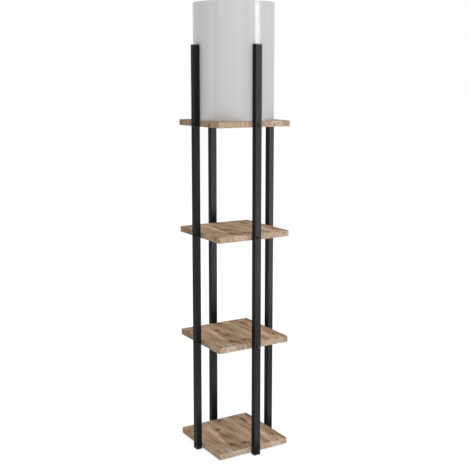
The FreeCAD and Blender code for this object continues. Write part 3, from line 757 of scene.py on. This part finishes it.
def lay_floor():
    """A pale matt floor that shows white with the object's shadow on it."""
    deselect()
    bpy.ops.mesh.primitive_plane_add(size=FLOOR_SIZE, location=(0, 0, FLOOR_TOP))
    floor = new_piece("floor")
    material, tree, shader, place = start_material(
        "White paper floor", {"Roughness": 0.9, "Specular IOR Level": 0.1},
    )
    pulp = grain(tree, place, 300 * MM, 2.0)
    feed(tree, shader, {"Base Color": between(tree, pulp, linear("F4F4F3"), linear("F7F7F6"))})
    glow = add_node(tree, "Emission", {"Strength": FLOOR_GLOW})
    seen = {0: seen_directly(tree), 1: FLOOR_GLOW_SHARE}
    share = add_node(tree, "Math", seen, operation="MULTIPLY")
    blend = add_node(tree, "MixShader", {0: share, 1: shader, 2: glow})
    feed(tree, tree.nodes["Material Output"], {"Surface": blend})
    floor.data.materials.append(material)


# Screws

def model_screw(sizes):
    """A button-head screw with its head on the origin, pointing along +Z, and its shank below."""
    head, crown = sizes.head_radius, sizes.head_height
    shank, tip = sizes.shank_radius, -sizes.shank_length
    screw = turned("button_screw", [
        (shank * 0.7, tip),
        (shank, tip + shank * 0.3),
        (shank, 0),
        (head * 0.97, 0),
        (head, crown * 0.06),
        (head, crown * 0.22),
        (head * 0.95, crown * 0.45),
        (head * 0.84, crown * 0.7),
        (head * 0.68, crown * 0.89),
        (head * 0.54, crown * 0.98),
        (head * 0.46, crown),
    ], sizes.steps // 2, hollow=False)
    deselect()
    across_corners = sizes.socket / math.cos(math.radians(30))
    bpy.ops.mesh.primitive_cylinder_add(
        vertices=6, radius=across_corners / 2, depth=2 * sizes.socket_depth, location=(0, 0, crown),
    )
    key = new_piece("socket_key")
    apply_modifier(screw, "BOOLEAN", object=key, operation="DIFFERENCE", solver="EXACT")
    bpy.data.meshes.remove(key.data)
    return screw


def set_screws(screw, side, finishes):
    """A copy of the screw at each shelf on that side, joined to one piece."""
    low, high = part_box(f"post_{side}_screws")
    turn = Matrix.Rotation(math.radians(SIDES[side]), 4, "Z")
    lie = Matrix.Rotation(math.radians(90), 4, "Y")
    out = max(abs(high.x), abs(high.y), abs(low.x), abs(low.y))
    seat = out - bpy.context.scene.shelf_lamp_sizes.head_height
    copies = []
    for number in SHELVES:
        board_low, board_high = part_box(f"shelf_{number}_board")
        copy = bpy.data.objects.new(f"button_screws_{side}", screw.data.copy())
        bpy.context.scene.collection.objects.link(copy)
        place = Matrix.Translation((seat, 0, (board_low.z + board_high.z) / 2))
        copy.data.transform(turn @ place @ lie)
        copies.append(copy)
    take(copies[0])
    for copy in copies:
        copy.select_set(True)
    bpy.ops.object.join()
    finish_piece(copies[0], "black_screw_steel", "frame", [f"post_{side}_screws"], finishes, smooth=30)


# Lampholder

def model_holder(sizes, finishes):
    """The lampholder's cup, and the ribbed shell that screws into it around the contact block."""
    low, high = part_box("holder_cup")
    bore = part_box("holder_nipple")[1].x + 0.05 * MM
    floor, wall = 3 * MM, 2 * MM
    cup = turned("lampholder_cup", [
        (bore, low.z),
        (high.x, low.z),
        (high.x, high.z),
        (high.x - wall, high.z),
        (high.x - wall, low.z + floor),
        (bore, low.z + floor),
    ], sizes.steps)
    round_edges(cup, 0.6 * MM)
    finish_piece(cup, "black_plastic", "frame", ["holder_cup"], finishes)

    shell_low, shell_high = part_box("holder_shell")
    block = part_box("holder_contact_block")[1]
    block_bore = block.x + PLAY
    cup_bore = high.x - wall - PLAY
    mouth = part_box("holder_sleeve")[1].x + PLAY
    inside = block.x - 0.8 * MM
    lip = shell_high.z - 2 * MM
    rib_low, rib_high = high.z + 3 * MM, shell_high.z - 9 * MM
    shell = turned("lampholder_shell", [
        (block_bore, shell_low.z),
        (cup_bore, shell_low.z),
        (cup_bore, high.z),
        (shell_high.x, high.z),
        (shell_high.x, rib_low),
        (shell_high.x, rib_high),
        (shell_high.x, shell_high.z),
        (mouth, shell_high.z),
        (mouth, lip),
        (inside, lip),
        (inside, block.z),
        (block_bore, block.z),
    ], sizes.steps)

    def is_rib(centre):
        """Every second face of the shell's ribbed stretch, on its outside."""
        turn = math.atan2(centre.y, centre.x) / math.tau * sizes.steps
        outer = Vector((centre.x, centre.y)).length > inside + 1 * MM
        halfway = abs(centre.z - (rib_low + rib_high) / 2) < 1 * MM
        return outer and halfway and math.floor(turn) % 2 == 0

    select_faces(shell, is_rib)
    bpy.ops.mesh.extrude_faces_move(
        MESH_OT_extrude_faces_indiv={}, TRANSFORM_OT_shrink_fatten={"value": sizes.rib_height},
    )
    bpy.ops.object.mode_set(mode="OBJECT")
    round_edges(shell, 0.25 * MM, 2)
    finish_piece(shell, "black_plastic", "frame", ["holder_shell"], finishes)


# Bulb

# How the bulb's housing widens from its foot to its rim: how far up, and how much of the widening is done.
HOUSING_FLARE = (
    (0.0, 0.0), (0.1, 0.0), (0.2, 0.08), (0.35, 0.3), (0.5, 0.53), (0.65, 0.73), (0.8, 0.88), (0.92, 0.97),
    (1.0, 1.0),
)
# The bulb's solder tip from its lowest point up: shares of its radius and of its height.
TIP_DOME = ((0.12, 0.0), (0.45, 0.06), (0.75, 0.22), (0.94, 0.5), (1.0, 0.8), (1.0, 1.0))


def model_bulb(sizes, finishes):
    model_globe(sizes, finishes)
    model_housing(sizes, finishes)
    model_cap(sizes, finishes)
    model_tip(sizes, finishes)


def model_globe(sizes, finishes):
    """The frosted globe, a sphere that is open at the housing's rim."""
    rim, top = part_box("bulb_globe")
    radius = top.x
    centre = top.z - radius
    first, last = math.asin((rim.z - centre) / radius), math.radians(88.5)
    rings = 28
    arc = [first + (last - first) * ring / rings for ring in range(rings + 1)]
    globe = turned("bulb_globe_frosted", [
        (radius * math.cos(angle), centre + radius * math.sin(angle)) for angle in arc
    ], sizes.steps, hollow=False)
    select_faces(globe, lambda middle: middle.z < rim.z + TOUCH)
    bpy.ops.mesh.delete(type="ONLY_FACE")
    bpy.ops.object.mode_set(mode="OBJECT")
    apply_modifier(globe, "SOLIDIFY", thickness=1.2 * MM, offset=-1)
    finish_piece(globe, "bulb_diffuser", "bulb", ["bulb_globe"], finishes)


def model_housing(sizes, finishes):
    """The housing, a moulded shell that widens from the cap to the globe."""
    low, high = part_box("bulb_housing")
    foot, bore, wall = 14 * MM, 8 * MM, 1.5 * MM
    rise = high.z - low.z
    outer = [(foot + (high.x - foot) * wide, low.z + rise * up) for up, wide in HOUSING_FLARE]
    inner = [(radius - wall, max(height, low.z + wall)) for radius, height in reversed(outer)]
    housing = turned("bulb_housing_moulded", [
        (bore, low.z), *outer, *inner[:-1], (bore, low.z + wall),
    ], sizes.steps)
    finish_piece(housing, "bulb_white", "bulb", ["bulb_housing"], finishes, smooth=45)


def model_tip(sizes, finishes):
    low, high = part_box("bulb_tip")
    rise = high.z - low.z
    tip = turned("bulb_solder_tip", [
        (high.x * wide, low.z + rise * up) for wide, up in TIP_DOME
    ], sizes.steps // 2, hollow=False)
    finish_piece(tip, "solder", "bulb_screw", ["bulb_tip"], finishes, smooth=60)


THREAD_TURNS = 4
THREAD_STEPS = 64           # sides of a turn


def model_cap(sizes, finishes):
    """The screw cap: a rolled thread as a true helix, with a collar above it and a bevel below."""
    low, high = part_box("bulb_screw_cap")
    crest = high.x
    root = crest - sizes.thread_depth
    first = low.z + 2 * MM
    last = first + THREAD_TURNS * sizes.thread_pitch
    cap = model_thread(sizes.thread_pitch, root, crest, first, last)
    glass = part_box("bulb_insulator")[1].x
    lap = 0.4 * MM          # how far the collar and the bevel reach into the thread
    round_off = 0.2 * MM
    collar = turned("cap_collar", [
        (root - lap, last - lap), (crest - round_off, last - lap), (crest, last),
        (crest, high.z), (root - lap, high.z),
    ], THREAD_STEPS)
    bevel = turned("cap_bevel", [
        (glass - lap, low.z), (glass, low.z), (crest, first), (crest - round_off, first + lap),
        (root - lap, first + lap), (root - lap, first),
    ], THREAD_STEPS)
    take(cap)
    collar.select_set(True)
    bevel.select_set(True)
    bpy.ops.object.join()
    finish_piece(cap, "nickel_cap", "bulb", ["bulb_screw_cap"], finishes, smooth=40)


def model_thread(pitch, root, crest, first, last):
    """One pitch of the wave, screwed up a turn too far and cut level at the first and the last height."""
    wave_steps = 12
    deselect()
    bpy.ops.mesh.primitive_grid_add(
        x_subdivisions=1, y_subdivisions=wave_steps, size=pitch, location=(0, 0, 0),
    )
    thread = new_piece("bulb_thread_cap")
    bpy.ops.object.mode_set(mode="EDIT")
    bpy.ops.mesh.select_mode(type="VERT")
    bpy.ops.mesh.select_all(action="DESELECT")
    bpy.ops.object.mode_set(mode="OBJECT")
    for corner in thread.data.vertices:
        corner.select = corner.co.x > 0
    bpy.ops.object.mode_set(mode="EDIT")
    bpy.ops.mesh.delete(type="VERT")
    bpy.ops.object.mode_set(mode="OBJECT")
    for corner in thread.data.vertices:
        up = corner.co.y / pitch + 0.5
        wave = (1 + math.cos(math.tau * up)) / 2
        corner.co = (root + (crest - root) * wave, 0, first - pitch + up * pitch)
    apply_modifier(
        thread, "SCREW", axis="Z", angle=math.tau, screw_offset=pitch, iterations=THREAD_TURNS + 1,
        steps=THREAD_STEPS, render_steps=THREAD_STEPS, use_merge_vertices=True, merge_threshold=TOUCH,
    )
    bpy.ops.object.mode_set(mode="EDIT")
    bpy.ops.mesh.select_all(action="SELECT")
    bpy.ops.mesh.remove_doubles(threshold=TOUCH)
    for height, outward in ((first, -1), (last, 1)):
        bpy.ops.mesh.select_all(action="SELECT")
        bpy.ops.mesh.bisect(
            plane_co=(0, 0, height), plane_no=(0, 0, outward), clear_outer=True, use_fill=True,
        )
    bpy.ops.mesh.select_all(action="SELECT")
    bpy.ops.mesh.normals_make_consistent(inside=False)
    bpy.ops.object.mode_set(mode="OBJECT")
    return thread


# Shade

def model_shade(sizes, finishes):
    low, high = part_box("shade")
    inner = high.x - sizes.shade_wall
    shade = turned("shade_cylinder", [
        (inner, low.z), (high.x, low.z), (high.x, high.z), (inner, high.z),
    ], 2 * sizes.steps)
    round_edges(shade, sizes.shade_rim, 4, 60)
    finish_piece(shade, "shade_opal", "shade", ["shade"], finishes, smooth=50)


# Panel and registration

OPERATORS = (
    SHELFLAMP_OT_stage, SHELFLAMP_OT_posts, SHELFLAMP_OT_screws, SHELFLAMP_OT_shelves,
    SHELFLAMP_OT_lampholder, SHELFLAMP_OT_bulb, SHELFLAMP_OT_shade,
)
GROUPS = {
    "shelf_lamp_sizes": ShelfLampSizes,
    "shelf_lamp_colours": ShelfLampColours,
    "shelf_lamp_stage": ShelfLampStage,
}


class SHELFLAMP_PT_panel(bpy.types.Panel):
    """Lists the lamp's pieces, sizes, colours and light levels"""
    bl_label = "Shelf Floor Lamp"
    bl_idname = "SHELFLAMP_PT_panel"
    bl_space_type = "VIEW_3D"
    bl_region_type = "UI"
    bl_category = "Shelf Lamp"

    def draw(self, context):
        for operator in OPERATORS:
            self.layout.operator(operator.bl_idname)
        for name, group in GROUPS.items():
            box = self.layout.box()
            for entry in group.__annotations__:
                box.prop(getattr(context.scene, name), entry)


def register():
    for group in GROUPS.values():
        bpy.utils.register_class(group)
    for name, group in GROUPS.items():
        setattr(bpy.types.Scene, name, PointerProperty(type=group))
    for operator in OPERATORS:
        bpy.utils.register_class(operator)
    bpy.utils.register_class(SHELFLAMP_PT_panel)


def unregister():
    bpy.utils.unregister_class(SHELFLAMP_PT_panel)
    for operator in reversed(OPERATORS):
        bpy.utils.unregister_class(operator)
    for name, group in GROUPS.items():
        delattr(bpy.types.Scene, name)
        bpy.utils.unregister_class(group)


def main():
    register()
    bpy.ops.shelf_lamp.stage()
    bpy.ops.shelf_lamp.posts()
    bpy.ops.shelf_lamp.screws()
    bpy.ops.shelf_lamp.shelves()
    bpy.ops.shelf_lamp.lampholder()
    bpy.ops.shelf_lamp.bulb()
    bpy.ops.shelf_lamp.shade()


if __name__ == "__main__":
    main()
